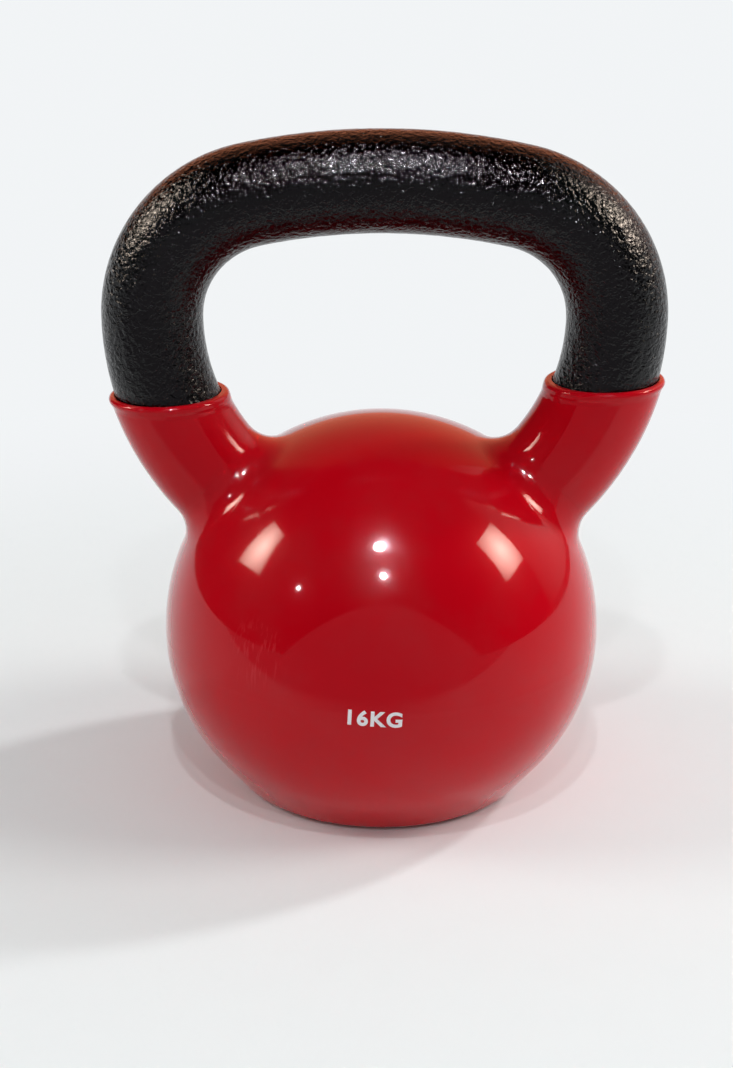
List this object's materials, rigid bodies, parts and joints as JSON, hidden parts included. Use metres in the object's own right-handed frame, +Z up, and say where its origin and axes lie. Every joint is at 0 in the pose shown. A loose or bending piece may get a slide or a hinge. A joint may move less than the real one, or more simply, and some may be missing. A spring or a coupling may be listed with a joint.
{
  "type": "kettlebell",
  "caption": "Cast-iron kettlebell with a round ball, flat foot, closed loop handle in textured black enamel, and a glossy red vinyl skin over the ball and horns.",
  "frame": {"origin": "middle of the flat foot, on the surface that the kettlebell stands on", "axes": "+Z up, X along the handle's span with the trim line rising towards +X, +Y towards the back"},
  "size_m": [0.201, 0.1604, 0.2423],
  "materials": {
    "iron": "as cast, hidden under the finishes",
    "black_enamel": "textured semi-gloss enamel with a fine orange-peel grain",
    "red_vinyl": "smooth glossy dipped vinyl"
  },
  "bodies": {
    "root": {"iron_casting": "iron", "handle_enamel": "black_enamel", "vinyl_jacket": "red_vinyl"}
  },
  "joints": []
}
